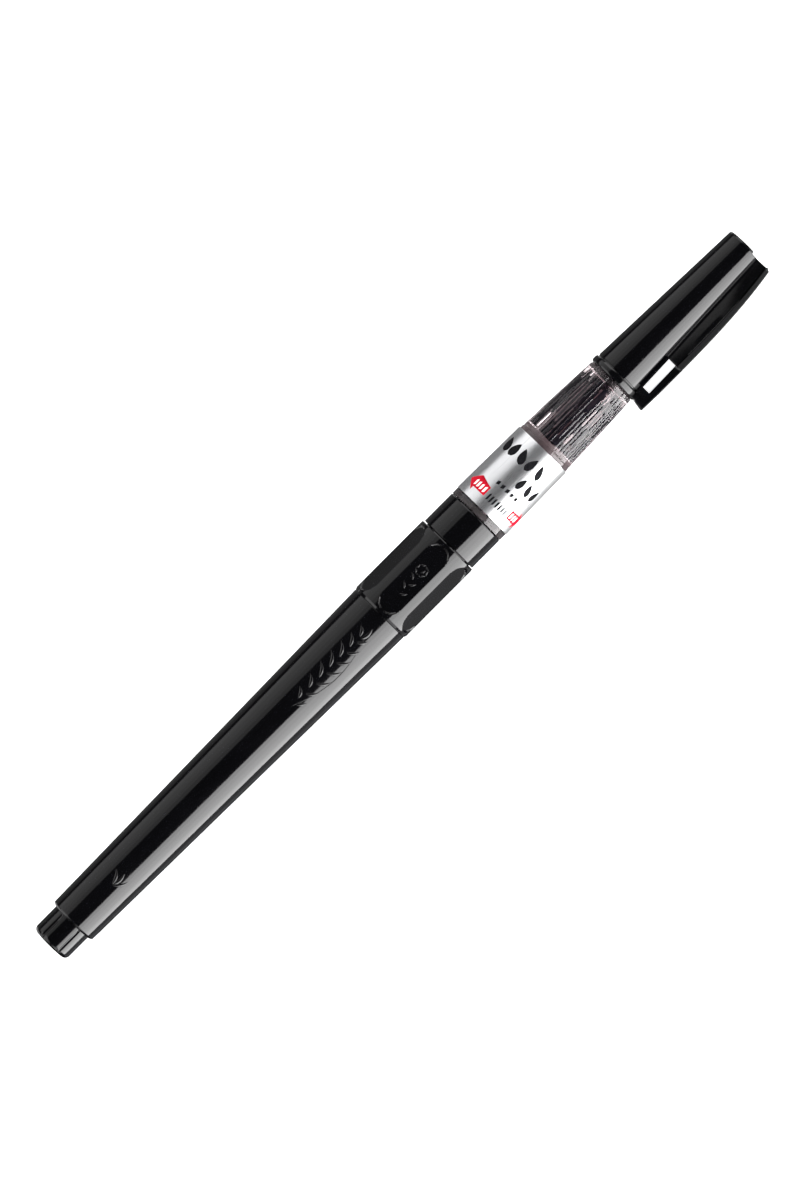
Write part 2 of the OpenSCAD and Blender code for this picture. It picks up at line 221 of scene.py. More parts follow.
def smooth(t):
    """A share that starts and stops gently, clamped to 0 and 1."""
    t = min(1, max(0, t))
    return t * t * (3 - 2 * t)


# ---- materials

def new_material(name, settings):
    """A material and its Principled shader, with plain values set on its sockets."""
    material = bpy.data.materials.new(name)
    material.use_nodes = True
    shader = material.node_tree.nodes["Principled BSDF"]
    for socket, value in settings.items():
        shader.inputs[socket].default_value = value
    return material, shader


def add(material, kind, inputs=None, **options):
    """Adds a shader node. An input is a value, or a socket to link."""
    node = material.node_tree.nodes.new(kind)
    for key, value in options.items():
        setattr(node, key, value)
    for key, value in (inputs or {}).items():
        if isinstance(value, bpy.types.NodeSocket):
            link(material, value, node.inputs[key])
        else:
            node.inputs[key].default_value = value
    return node


def link(material, source, target):
    """Joins two shader sockets."""
    material.node_tree.links.new(source, target)


def noise(material, scale, detail=3, roughness=0.6):
    """Noise over the piece's own coordinates; scale is in cells per metre along x, y and z."""
    where = add(material, "ShaderNodeTexCoord")
    spread = add(material, "ShaderNodeMapping", {"Vector": where.outputs["Object"], "Scale": scale})
    grain = add(material, "ShaderNodeTexNoise", {
        "Vector": spread.outputs["Vector"], "Scale": 1, "Detail": detail, "Roughness": roughness})
    return grain.outputs["Fac"]


def ranged(material, value, low, high, to_low, to_high):
    """Maps a value from one range to another, and clamps it."""
    spread = add(material, "ShaderNodeMapRange", {
        "Value": value, "From Min": low, "From Max": high, "To Min": to_low, "To Max": to_high})
    return spread.outputs["Result"]


def mixed(material, factor, first, second):
    """Mixes two colours."""
    blend = add(material, "ShaderNodeMix", data_type="RGBA")
    for name, value in (("Factor_Float", factor), ("A_Color", first), ("B_Color", second)):
        socket = next(s for s in blend.inputs if s.identifier == name)
        if isinstance(value, bpy.types.NodeSocket):
            link(material, value, socket)
        else:
            socket.default_value = value
    return next(s for s in blend.outputs if s.identifier == "Result_Color")


def tone(material, shader, value, low, high, first, second, most=1):
    """Goes from one base colour to another as a value rises from low to high."""
    share = ranged(material, value, low, high, 0, most)
    link(material, mixed(material, share, first, second), shader.inputs["Base Color"])


def roughen(material, shader, value, low, high, least, most):
    """Roughness that rises from least to most as a value goes from low to high."""
    link(material, ranged(material, value, low, high, least, most), shader.inputs["Roughness"])


def relief(material, shader, height, strength, distance):
    """Bumps a shader's normal by a height."""
    bump = add(material, "ShaderNodeBump", {"Height": height, "Strength": strength, "Distance": distance})
    link(material, bump.outputs["Normal"], shader.inputs["Normal"])


def edge_wear(material, start, end):
    """High where the surface turns sharply outward."""
    return ranged(material, add(material, "ShaderNodeNewGeometry").outputs["Pointiness"], start, end, 0, 1)


def black_plastic():
    """Polished black moulding with fine lengthwise scratches, dust and rubbed edges."""
    material, shader = new_material("black_plastic", {"IOR": 1.5})
    scratches = noise(material, (500, 14000, 14000), 4, 0.7)
    clouds = noise(material, (90, 260, 260), 3)
    rough = ranged(material, scratches, 0.55, 0.85, 0.07, 0.2)
    smear = ranged(material, clouds, 0.45, 0.75, 0, 0.06)
    total = add(material, "ShaderNodeMath", {0: rough, 1: smear}, operation="ADD")
    link(material, total.outputs[0], shader.inputs["Roughness"])
    dust = ranged(material, noise(material, (3600, 3600, 3600), 1), 0.80, 0.86, 0, 0.5)
    patches = ranged(material, clouds, 0.3, 0.7, 0, 1)
    body = mixed(material, patches, (0.0004, 0.0004, 0.0006, 1), (0.001, 0.001, 0.0014, 1))
    worn = mixed(material, edge_wear(material, 0.56, 0.7), body, (0.006, 0.006, 0.007, 1))
    dusty = mixed(material, dust, worn, (0.03, 0.03, 0.03, 1))
    link(material, dusty, shader.inputs["Base Color"])
    nicks = ranged(material, noise(material, (900, 5200, 5200), 2), 0.66, 0.74, 0, 1)
    height = add(material, "ShaderNodeMath", {0: scratches, 1: nicks}, operation="SUBTRACT")
    relief(material, shader, height.outputs[0], 0.1, 0.00002)
    return material


def let_lamps_through(material, shader, tint):
    """Lets lamps light what a clear piece holds."""
    tree = material.node_tree
    path = add(material, "ShaderNodeLightPath")
    clear = add(material, "ShaderNodeBsdfTransparent", {"Color": tint})
    both = add(material, "ShaderNodeMixShader", {"Fac": path.outputs["Is Shadow Ray"]})
    tree.links.new(shader.outputs[0], both.inputs[1])
    tree.links.new(clear.outputs[0], both.inputs[2])
    tree.links.new(both.outputs[0], tree.nodes["Material Output"].inputs["Surface"])


def clear_plastic():
    """Clear moulding with a faint pink cast, flow marks and light scuffs."""
    material, shader = new_material("clear_plastic", {
        "IOR": 1.49, "Transmission Weight": 1.0, "Specular IOR Level": 0.25})
    flow = noise(material, (160, 1500, 1500), 3)
    tone(material, shader, flow, 0.35, 0.7, (0.9, 0.8, 0.82, 1), (0.8, 0.68, 0.71, 1))
    scuffs = noise(material, (600, 9000, 9000), 4, 0.7)
    roughen(material, shader, scuffs, 0.58, 0.8, 0.0, 0.05)
    relief(material, shader, flow, 0.04, 0.00002)
    let_lamps_through(material, shader, (0.93, 0.88, 0.88, 1))
    return material


def frosted_plastic():
    """Translucent cartridge tube."""
    material, shader = new_material("frosted_plastic", {"IOR": 1.49, "Transmission Weight": 0.85})
    haze = noise(material, (400, 1200, 1200), 3)
    tone(material, shader, haze, 0.35, 0.7, (0.93, 0.91, 0.89, 1), (0.84, 0.82, 0.8, 1))
    roughen(material, shader, haze, 0.3, 0.8, 0.25, 0.42)
    let_lamps_through(material, shader, (0.8, 0.78, 0.76, 1))
    return material


def label_foil():
    """Bright silver foil, drawn in fine lengthwise lines, with slight dents."""
    material, shader = new_material("label_foil", {"Metallic": 1.0})
    lines = noise(material, (250, 16000, 16000), 4, 0.65)
    dents = noise(material, (500, 700, 700), 2)
    streaks = ranged(material, lines, 0.3, 0.75, 0, 1)
    drawn = mixed(material, streaks, (0.97, 0.97, 0.98, 1), (0.84, 0.85, 0.87, 1))
    worn = mixed(material, edge_wear(material, 0.54, 0.62), drawn, (0.55, 0.55, 0.56, 1))
    link(material, worn, shader.inputs["Base Color"])
    roughen(material, shader, lines, 0.35, 0.8, 0.27, 0.4)
    both = add(material, "ShaderNodeMath", {0: lines, 1: dents}, operation="ADD")
    relief(material, shader, both.outputs[0], 0.25, 0.00002)
    return material


def printed(name, strong, thin):
    """Screen-printed ink on the label, a little uneven."""
    material, shader = new_material(name, {"IOR": 1.45, "Specular IOR Level": 0.03})
    cover = noise(material, (3000, 5000, 5000), 4, 0.7)
    tone(material, shader, cover, 0.55, 0.85, strong, thin, 0.7)
    roughen(material, shader, cover, 0.3, 0.8, 0.28, 0.5)
    relief(material, shader, cover, 0.1, 0.00001)
    return material


def satin(name, light, dark, rough, grain=2500, lift=0.00002):
    """Plain satin moulding with a fine moulded grain."""
    material, shader = new_material(name, {"IOR": 1.5})
    spots = noise(material, (grain * 0.4, grain, grain), 4, 0.65)
    tone(material, shader, spots, 0.3, 0.75, light, dark)
    roughen(material, shader, spots, 0.3, 0.8, rough, rough + 0.15)
    relief(material, shader, spots, 0.15, lift)
    return material


def drawn_steel():
    """Drawn stainless tube."""
    material, shader = new_material("drawn_steel", {"Metallic": 1.0})
    lines = noise(material, (200, 9000, 9000), 4)
    tone(material, shader, lines, 0, 1, (0.66, 0.66, 0.68, 1), (0.5, 0.5, 0.52, 1))
    roughen(material, shader, lines, 0.3, 0.8, 0.22, 0.4)
    return material


def wet_ink():
    """Black ink, glossy, with a slightly warm film where it thins."""
    material, shader = new_material("wet_ink", {"IOR": 1.34, "Specular IOR Level": 0.08})
    film = noise(material, (400, 1800, 1800), 4, 0.65)
    tone(material, shader, film, 0.45, 0.75, (0.003, 0.003, 0.005, 1), (0.022, 0.017, 0.022, 1))
    roughen(material, shader, film, 0.3, 0.8, 0.1, 0.3)
    relief(material, shader, film, 0.1, 0.00003)
    return material


def bristle():
    """Synthetic bristles, ink black at the root and browner towards the tip."""
    material, shader = new_material("bristle", {"IOR": 1.5, "Sheen Weight": 0.05})
    where = add(material, "ShaderNodeTexCoord")
    along = add(material, "ShaderNodeSeparateXYZ", {"Vector": where.outputs["Object"]})
    reach = ranged(material, along.outputs["X"], X_TUFT * MM, X_TUFT_END * MM, 0, 1)
    strands = noise(material, (300, 12000, 12000), 3)
    base = mixed(material, reach, (0.004, 0.0035, 0.004, 1), (0.025, 0.018, 0.014, 1))
    tone(material, shader, strands, 0.4, 0.75, base, (0.05, 0.037, 0.03, 1), 0.6)
    roughen(material, shader, strands, 0.3, 0.8, 0.3, 0.55)
    return material


MATERIALS = {
    "black": black_plastic(),
    "clear": clear_plastic(),
    "frosted": frosted_plastic(),
    "foil": label_foil(),
    "red_print": printed("red_print", (0.42, 0.005, 0.018, 1), (0.5, 0.035, 0.05, 1)),
    "black_print": printed("black_print", (0.006, 0.006, 0.007, 1), (0.05, 0.05, 0.05, 1)),
    "white_print": printed("white_print", (0.86, 0.85, 0.85, 1), (0.75, 0.7, 0.7, 1)),
    "white": satin("white_plastic", (0.82, 0.81, 0.79, 1), (0.74, 0.73, 0.71, 1), 0.35),
    "feed": satin("feed_plastic", (0.004, 0.004, 0.005, 1), (0.009, 0.008, 0.009, 1), 0.2),
    "collector": satin("collector_plastic", (0.085, 0.062, 0.068, 1), (0.045, 0.034, 0.038, 1), 0.3),
    "step_band": satin("step_plastic", (0.085, 0.068, 0.07, 1), (0.055, 0.043, 0.045, 1), 0.3),
    "rubber": satin("seal_rubber", (0.012, 0.012, 0.012, 1), (0.025, 0.025, 0.025, 1), 0.55, 5000, 0.00003),
    "wick": satin("wick_fibre", (0.012, 0.012, 0.014, 1), (0.05, 0.045, 0.045, 1), 0.7, 9000, 0.00005),
    "steel": drawn_steel(),
    "ink": wet_ink(),
    "bristle": bristle(),
}


# ---- barrel and grip

def tail_plug():
    """Tail plug: rounded head with six finger grooves, and its hollow shank."""
    grooves, half, depth = 6, 0.42, 0.2
    shank, bore, wall, edge = 3.55, 2.5, 1.6, 1

    def bend(x, radius, angle):
        if radius < R_TAIL * 0.8 or x > X_BARREL - 0.05:
            return radius
        step = 2 * math.pi / grooves
        off = abs((angle + step / 2) % step - step / 2) * R_TAIL
        cut = math.cos(min(1, off / half) * math.pi / 2) ** 2
        return radius - depth * cut * smooth((x - X_TAIL) / 0.9)

    head = [(X_TAIL, 0.01)]
    head += [(X_TAIL + edge - edge * math.cos(a), R_TAIL - edge + edge * math.sin(a))
             for a in (math.pi / 2 * k / 8 for k in range(9))]
    head += [(x, R_TAIL) for x in (X_TAIL + 2, X_TAIL + 3.5, X_BARREL - 0.4)]
    inside = [(X_BARREL - 0.05, R_TAIL), (X_BARREL - 0.05, shank), (X_BARREL + 6, shank),
              (X_BARREL + 6, bore), (X_TAIL + wall, bore), (X_TAIL + wall, 0.01)]
    mesh = lathe("tail_plug_head", head + soften(inside, 0.1, closed=False), bend, closed=False, count=288)
    place(mesh, "barrel", "black_plastic", "black", "tail_plug")


def barrel_radius(x):
    """Radius of the barrel at a station."""
    return lerp(R_BARREL_TAIL, R_BARREL, (x - X_BARREL) / (X_GRIP - X_BARREL))


def barrel():
    """Tapered barrel with a softened tail edge."""
    stop, seat, plug_end = X_BARREL + 21, X_GRIP - 7.6, X_BARREL + 6.5
    plug_bore, relief_bore, grip_bore, wall, edge = 3.6, 3.35, 4.9, 1, 0.35
    profile = [(X_BARREL, plug_bore), (X_BARREL, R_BARREL_TAIL - edge), (X_BARREL + edge, R_BARREL_TAIL),
               (X_GRIP - 0.08, R_BARREL - 0.01), (X_GRIP, R_BARREL - 0.09), (X_GRIP, grip_bore),
               (seat, grip_bore), (seat, barrel_radius(X_GRIP - 7.5) - wall),
               (stop, barrel_radius(stop) - wall), (stop, relief_bore), (plug_end, relief_bore),
               (plug_end, plug_bore)]
    place(lathe("barrel_tube", soften(profile, 0.12)), "barrel", "black_plastic", "black", "barrel")


def grip_sleeve():
    """Grip with a ring of scooped flats whose round ends blend into the surface."""
    flats, half_width, flat_radius, half_length = 6, 2.32, R_GRIP - FLAT_DEPTH, 7.85
    middle = (X_GRIP + X_SEAM) / 2
    step = 2 * math.pi / flats

    def bend(x, radius, angle):
        off = (angle % step) - step / 2
        across = off * R_GRIP
        past = max(0, abs(x - middle) - (half_length - half_width))
        inside = half_width - math.hypot(past, across)
        if inside <= 0:
            return radius
        plane = flat_radius / math.cos(off)
        return min(radius, lerp(radius, plane, smooth(inside / 0.22) if past > 0 else 1))

    outer = [(X_GRIP, R_BARREL - 0.09), (X_GRIP + 0.08, R_BARREL), (X_GRIP + 0.5, R_GRIP)]
    outer += [(lerp(X_GRIP + 0.6, X_SEAM - 0.7, k / 180), R_GRIP) for k in range(181)]
    outer += [(X_SEAM - 0.6, R_GRIP), (X_SEAM - 0.14, R_GRIP - 0.03), (X_SEAM, R_GRIP - 0.13)]
    collar_bore, thread_bore, cartridge_bore, neck = 5.22, 4.55, 3.9, 4.88
    inner = [(X_SEAM, collar_bore), (X_SEAM - 2.1, collar_bore), (X_SEAM - 2.1, thread_bore),
             (X_GRIP + 7.6, thread_bore), (X_GRIP + 7.6, cartridge_bore), (X_GRIP - 7.5, cartridge_bore),
             (X_GRIP - 7.5, neck), (X_GRIP, neck)]
    count = 360
    rings = [ring(x, r, bend, count) for x, r in outer] + [ring(x, r, None, count) for x, r in inner]
    mesh = loft("grip_ring", rings, closed=True, sharp=20)
    place(mesh, "barrel", "black_plastic", "black", "grip_sleeve")


def front_collar():
    """Collar between the grip and the clear body."""
    bore, tenon = 4.55, 5.2
    profile = [(X_COLLAR - 2.2, bore), (X_COLLAR - 2.2, tenon), (X_COLLAR, tenon),
               (X_COLLAR, R_COLLAR - 0.06), (X_COLLAR + 0.08, R_COLLAR), (X_FLANGE - 0.25, R_COLLAR),
               (X_FLANGE, R_COLLAR - 0.2), (X_FLANGE, bore)]
    place(lathe("collar_ring", soften(profile, 0.1)), "barrel", "black_plastic", "black", "front_collar")


# ---- raised and printed marks

def on_barrel(x, across, lift):
    """A point on the barrel; across is the distance round it from the camera's side towards the clip."""
    r = barrel_radius(x) + lift
    return round_from_front(x, across / barrel_radius(x), r)


def round_from_front(x, angle, r):
    """A point at an angle from the camera's side towards the clip."""
    return (x, -r * math.cos(angle), -r * math.sin(angle))


def leaf(surface, x, across, length, width, heading, height=0.14, sink=0.03, rows=12, columns=8):
    """Vertices and faces of one raised leaf, from its stalk at x, across towards its heading."""
    vertices, faces = [], []
    c, s = math.cos(heading), math.sin(heading)
    for i in range(rows + 1):
        f = i / rows
        half = width / 2 * math.sin(math.pi * f ** 0.8) ** 0.9 if 0 < f < 1 else 0
        arch = math.sin(math.pi * min(1, f * 1.05)) ** 0.5 if 0 < f < 0.95 else 0
        for j in range(columns + 1):
            g = 2 * j / columns - 1
            a, b = f * length, g * half + 0.12 * length * math.sin(math.pi * f)
            lift = height * (1 - g * g) ** 0.7 * arch
            vertices.append(surface(x + a * c - b * s, across + a * s + b * c, lift - sink))
    for i in range(rows):
        for j in range(columns):
            k = i * (columns + 1) + j
            faces.append((k, k + 1, k + columns + 2, k + columns + 1))
    return vertices, faces


def join_parts(parts):
    """Joins lists of vertices and faces."""
    vertices, faces = [], []
    for more, polygons in parts:
        start = len(vertices)
        vertices += more
        faces += [tuple(start + k for k in polygon) for polygon in polygons]
    return vertices, faces


def leaves(name, parts):
    """One mesh of many leaves."""
    return finish_mesh(name, *join_parts(parts), sharp=60)


def barrel_sprig():
    """A plain leafy sprig in low relief on the barrel."""
    start, end, pairs = X_GRIP - 23, X_GRIP - 3.5, 7
    parts = [leaf(on_barrel, start, 0.4, end - start, 0.28, 0.02, 0.1, rows=40)]
    for k in range(pairs):
        x = lerp(start + 1.2, end - 3, k / (pairs - 1))
        size = lerp(2.3, 3.3, math.sin(math.pi * k / (pairs - 1)))
        parts.append(leaf(on_barrel, x, 0.7, size, 0.62, 0.75))
        parts.append(leaf(on_barrel, x + 1.1, 0.5, size, 0.62, -0.7))
    parts.append(leaf(on_barrel, end - 2.2, 0.8, 3, 0.7, 0.1))
    place(leaves("barrel_sprig", parts), "barrel", "black_plastic", "black")


def tail_sprig():
    """Three small leaves in low relief near the tail."""
    stalk = X_BARREL + 9.8
    parts = [leaf(on_barrel, stalk, 0.4, 3.2, 0.6, heading, 0.12) for heading in (-0.55, 0.05, 0.6)]
    place(leaves("tail_sprig", parts), "barrel", "black_plastic", "black")


def grip_mark():
    """A leaf spray and a ring of thin strokes in low relief on the flat that faces up."""
    def on_flat(x, across, lift):
        return (x, -(R_GRIP - FLAT_DEPTH + lift), -across)

    start, ring_at, ring_radius, strokes = X_GRIP + 5, X_GRIP + 10.6, 1.15, 7
    parts = [leaf(on_flat, start + 1.1 * k, 0, 1.5, 0.36, heading, 0.12)
             for k, heading in enumerate((0.9, -0.8, 0.8, -0.9))]
    for k in range(strokes):
        a = 2 * math.pi * k / strokes
        x, across = ring_at + ring_radius * math.cos(a), ring_radius * math.sin(a)
        parts.append(leaf(on_flat, x, across, 1.0, 0.32, a + 1.9, 0.12))
    parts.append(leaf(on_flat, ring_at - 0.4, 0.1, 1.0, 0.3, 0.4, 0.12))
    place(leaves("grip_mark", parts), "barrel", "black_plastic", "black")


def label_radius(x):
    """Radius of the label at a station."""
    return lerp(R_LABEL, R_LABEL_FRONT, (x - X_LABEL) / (X_STEP - X_LABEL))


def wrapped(name, outlines, lift, finish):
    """Thin printed shapes on the label from outlines of (x, distance round from the camera's side)."""
    bm = bmesh.new()
    for outline in outlines:
        bm.faces.new([bm.verts.new((x, across, 0)) for x, across in outline])
    bmesh.ops.triangulate(bm, faces=bm.faces)
    reach = max(abs(v.co.y) for v in bm.verts)
    cuts = int(reach / 0.25) + 1
    for k in range(-cuts, cuts + 1):
        geometry = list(bm.verts) + list(bm.edges) + list(bm.faces)
        bmesh.ops.bisect_plane(bm, geom=geometry, plane_co=(0, k * 0.25, 0), plane_no=(0, 1, 0))
    top = bmesh.ops.extrude_face_region(bm, geom=list(bm.faces))["geom"]
    raised = {v for v in top if isinstance(v, bmesh.types.BMVert)}
    vertices = []
    for v in bm.verts:
        x, across = v.co.x, v.co.y
        r = label_radius(x) + (lift if v in raised else -0.02)
        vertices.append(round_from_front(x, across / label_radius(x), r))
    bm.verts.index_update()
    faces = sorted(tuple(v.index for v in face.verts) for face in bm.faces)
    bm.free()
    place(finish_mesh(name, vertices, faces, sharp=40), "front_section", "label_foil", finish)


def arrow(x, start, tip, shaft, head, head_length):
    """Outline of an arrow round the pen at x, from start to tip."""
    way = 1 if tip > start else -1
    neck = tip - way * head_length
    return [(x - shaft / 2, start), (x - shaft / 2, neck), (x - head / 2, neck), (x, tip),
            (x + head / 2, neck), (x + shaft / 2, neck), (x + shaft / 2, start)]


def bar(x, across, length, width, lean=0.0):
    """Outline of a bar that runs round the pen, centred at x, across."""
    return [(x - width / 2 - lean, across - length / 2), (x + width / 2 - lean, across - length / 2),
            (x + width / 2 + lean, across + length / 2), (x - width / 2 + lean, across + length / 2)]


def dab(x, across, length, width, lean, steps=9):
    """Outline of one brush dab, pointed at its ends, that lies along the pen."""
    def side(f, sign):
        swell = sign * width / 2 * math.sin(math.pi * f ** 0.7) ** 0.8
        return (x + (f - 0.5) * length - swell * lean, across + (f - 0.5) * length * lean + swell)
    upper = [side(k / steps, 1) for k in range(1, steps)]
    lower = [side(k / steps, -1) for k in range(steps - 1, 0, -1)]
    return [side(0, 1)] + upper + [side(1, 1)] + lower


def label_print():
    """Plain marks on the label: two arrows, a row of ticks, one of dots and two of brush dabs."""
    arrow_x = X_LABEL + 2.9
    shaft, head, head_length = 1.9, 3.4, 2.1
    arrows = [arrow(arrow_x, start, tip, shaft, head, head_length)
              for start, tip in ((-1.7, -6.7), (4.3, 9.0))]
    wrapped("label_arrows", arrows, 0.02, "red_print")
    inset = [bar(arrow_x, a, 0.42, 1.1, 0.12) for a in (-2.3, -3.1, -3.9, -4.7)]
    inset += [bar(arrow_x, a, 0.42, 1.1, 0.12) for a in (4.9, 5.7, 6.5)]
    wrapped("label_arrow_bars", inset, 0.03, "white_print")
    ticks = [bar(arrow_x - 0.4, a, 0.34, 1.3, 0.16) for a in (-0.9, -0.2, 0.5, 1.2, 1.9, 2.6, 3.3)]
    dots = [bar(X_LABEL + 5.5, a, 0.6, 0.75, 0.12) for a in (-1.4, -0.3, 0.8, 1.9, 3.0)]
    dabs = [dab(X_LABEL + 11.7, -5.9 + 2.15 * k, 3.0, 1.75 - 0.14 * k, 0.25 if k % 2 else -0.3)
            for k in range(5)]
    dabs += [dab(X_LABEL + 8.1, 1.7 + 1.9 * k, 2.6, 1.15, -0.25 if k % 2 else 0.25) for k in range(3)]
    wrapped("label_dabs", ticks + dots + dabs, 0.02, "black_print")


# ---- front section

def stretches(start, end, share, shortest, longest):
    """Random stretches between start and end that take up a share of it."""
    gaps, x = [], start - random.uniform(0, 2)
    while x < end:
        length = random.uniform(shortest, longest)
        if random.random() < share:
            gaps.append((x, x + length))
        x += length
    return gaps


def chamber_radius(f):
    """Radius of the chamber at a share of its length."""
    return lerp(R_CHAMBER, R_CHAMBER_FRONT, f) + 0.05 * math.sin(math.pi * f)


def clear_housing():
    """Clear body: helical thread, flange, label seat, stepped band, fluted chamber and neck."""
    root, pitch, thread_end = 4.2, 1.5, X_FLANGE - 3.2
    flutes, depth, points = 44, 0.045, 8
    count = flutes * points
    bore, bore_end, duct = 4.3, X_CAP - 1.3, 2.6
    groove, half_groove, groove_radius, land = X_FLANGE - 1.1, 0.55, 3.45, R_SPIGOT - 0.05
    under_label, step = 0.14, R_CHAMBER + 0.12

    def thread(x, radius, angle):
        turn = ((x - X_SPIGOT) / pitch - angle / (2 * math.pi)) % 1
        crest = smooth((0.36 - abs(turn - 0.5)) / 0.16)
        fade = smooth((x - X_SPIGOT) / 0.8) * smooth((thread_end - x) / 0.8)
        return radius + (R_SPIGOT - root) * crest * fade

    random.seed(5)
    plain = [stretches(X_STEP, X_CAP, 0.25, 1, 6) for _ in range(flutes)]

    def flute(x, radius, angle):
        k = int(angle / (2 * math.pi) * count + 0.5)
        off = min(k % points, points - k % points)
        if x < X_CHAMBER or off > 1 or any(a < x < b for a, b in plain[(k + 1) // points % flutes]):
            return radius
        return radius - depth * (2 - off)

    rings = [ring(X_SPIGOT, duct, None, count)]
    steps = 110
    rings += [ring(lerp(X_SPIGOT, thread_end, k / steps), root, thread, count) for k in range(steps + 1)]
    seat = [(thread_end + 0.1, land), (groove - half_groove, land), (groove - half_groove, groove_radius),
            (groove + half_groove, groove_radius), (groove + half_groove, land), (X_FLANGE + 0.03, land),
            (X_FLANGE + 0.03, R_COLLAR), (X_LABEL - 0.02, R_COLLAR), (X_LABEL - 0.02, R_LABEL - under_label),
            (X_STEP, R_LABEL_FRONT - under_label)]
    rings += [ring(x, r, None, count) for x, r in soften(seat, 0.1, closed=False)]
    band = [(X_STEP + 0.02, step), (X_STEP + 0.7, step), (X_STEP + 0.8, R_CHAMBER - 0.02),
            (X_STEP + 0.95, R_CHAMBER - 0.02), (X_STEP + 1.05, R_CHAMBER + 0.06),
            (X_STEP + 1.4, R_CHAMBER + 0.04)]
    band += [(lerp(X_CHAMBER, X_CAP - 0.35, k / 90), chamber_radius(k / 90)) for k in range(91)]
    band += [(X_CAP - 0.1, R_CHAMBER_FRONT - 0.22)]
    rings += [ring(x, r, flute, count) for x, r in band]
    nose = [(X_CAP - 0.03, R_CHAMBER_FRONT - 0.35), (X_CAP - 0.03, R_NECK), (X_NECK, R_NECK), (X_NECK, duct),
            (bore_end, duct), (bore_end, bore), (X_LABEL + 2, bore), (X_LABEL + 2, duct)]
    rings += [ring(x, r, None, count) for x, r in soften(nose, 0.1, closed=False)]
    mesh = loft("clear_body", rings, closed=True)
    place(mesh, "front_section", "clear_plastic", "clear", "clear_housing")


def rectangle(start, end, inner, outer):
    """Outline of a plain turned ring."""
    return [(start, inner), (start, outer), (end, outer), (end, inner)]


def flange_washer():
    """Washer inside the flange behind the label."""
    washer = rectangle(X_FLANGE + 0.15, X_LABEL - 0.2, 2.9, 5.5)
    place(lathe("flange_washer", soften(washer, 0.1)), "front_section", "seal_rubber", "rubber")


def label():
    """Foil label, a thin rolled shell with softened edges."""
    thick = 0.12
    profile = [(X_LABEL, R_LABEL - thick), (X_LABEL, R_LABEL), (X_STEP, R_LABEL_FRONT),
               (X_STEP, R_LABEL_FRONT - thick)]
    place(lathe("label_sleeve", soften(profile, 0.04)), "front_section", "label_foil", "foil", "label")


def box_part(low, high, turn):
    """Vertices and faces of a box between two corners, turned about the pen's axis."""
    spin = Matrix.Rotation(turn, 3, "X")
    corners = [spin @ Vector((x, y, z))
               for x in (low[0], high[0]) for y in (low[1], high[1]) for z in (low[2], high[2])]
    faces = [(0, 1, 3, 2), (4, 6, 7, 5), (0, 4, 5, 1), (2, 3, 7, 6), (0, 2, 6, 4), (1, 5, 7, 3)]
    return corners, faces


def feed_collector():
    """Ink collector: a core with end discs and many fins that stop and start along it."""
    random.seed(7)
    start, end = ends("feed_collector")
    tip, half, disc, core, rear, front = 4.24, 0.2, 1.2, 2.4, 4.15, 4.0
    profile = [(start, R_WICK), (start, rear), (start + disc, rear), (start + disc, core), (end - disc, core),
               (end - disc, front), (end, front), (end, R_WICK)]
    mesh = lathe("collector_core", soften(profile, 0.08), count=96)
    place(mesh, "front_section", "feed_plastic", "collector", "feed_collector")
    parts = []
    for k in range(FINS):
        x, turn = start + 1.1, 2 * math.pi * k / FINS
        while x < end - 1.3:
            stop = min(x + random.uniform(3, 8), end - disc)
            parts.append(box_part((x, -half, 2.2), (stop, half, tip - random.uniform(0, 0.08)), turn))
            x = stop + random.uniform(0, 0.3)
    place(finish_mesh("collector_fins", *join_parts(parts)), "front_section", "feed_plastic", "collector")


def collector_rings():
    """Band round the collector at the chamber's step, and a near-black ring in front of it that paints the
    shade inside the neck.
    """
    band = rectangle(X_STEP - 0.5, X_CHAMBER - 0.15, 4.25, R_WET)
    place(lathe("step_band", band), "front_section", "feed_plastic", "step_band")
    # Near-black ring just behind the cap's lip: painted shade standing in for the shadow inside the neck.
    washer = rectangle(X_CAP - 1.05, X_CAP - 0.3, 2.75, 4.1)
    place(lathe("neck_painted_shade_ring", soften(washer, 0.1)), "front_section", "feed_plastic", "feed")


def chamber_ink():
    """Ink that wets the chamber's wall, with thin lines along the fins and streaks where it is dry."""
    random.seed(11)
    start, end = ends("chamber_ink")[0], X_CAP - 1.4
    dry_radius, inner, per_fin = 4.1, 2.44, 12
    lines, streaks = [], []
    for k in range(FINS):
        front = (360 * (k + 0.5) / FINS + 90 + 180) % 360 - 180
        side = 45 < abs(front) < 110
        patchy = 16 < front < 45 or abs(front) > 140
        share = 0.11 if patchy else (0 if side else 0.02)
        lines.append(stretches(start, end, 0.12 if side else 0.8, 1.5, 6))
        pair = []
        for _ in range(2):
            dry = stretches(start, end, share, 0.7, 4)
            dry += [(start - 1, start + random.uniform(0, 0.5)), (end - random.uniform(0.1, 2.2), end + 1)]
            dry.append((X_STEP - 0.6, X_CHAMBER + random.uniform(-0.08, 0.05)))
            pair.append(dry)
        streaks.append(pair)

    def wet(x, radius, angle):
        turn = angle / (2 * math.pi) * FINS
        k, part = int(turn + 1e-6) % FINS, int((turn + 1e-6) % 1 * per_fin)
        gaps = streaks[k][0 if part < 7 else 1]
        if part < 4:
            gaps = gaps + lines[k]
        away = min([max(a - x, x - b) for a, b in gaps] + [9])
        return lerp(dry_radius, radius, smooth(away / 0.12 + 0.5))

    steps, count = 120, FINS * per_fin
    rings = [ring(start, inner, None, count)]
    rings += [ring(lerp(start, end, k / steps), R_WET, wet, count) for k in range(steps + 1)]
    rings += [ring(end, inner, None, count)]
    place(loft("chamber_ink_film", rings, closed=True), "front_section", "ink", "ink", "chamber_ink")


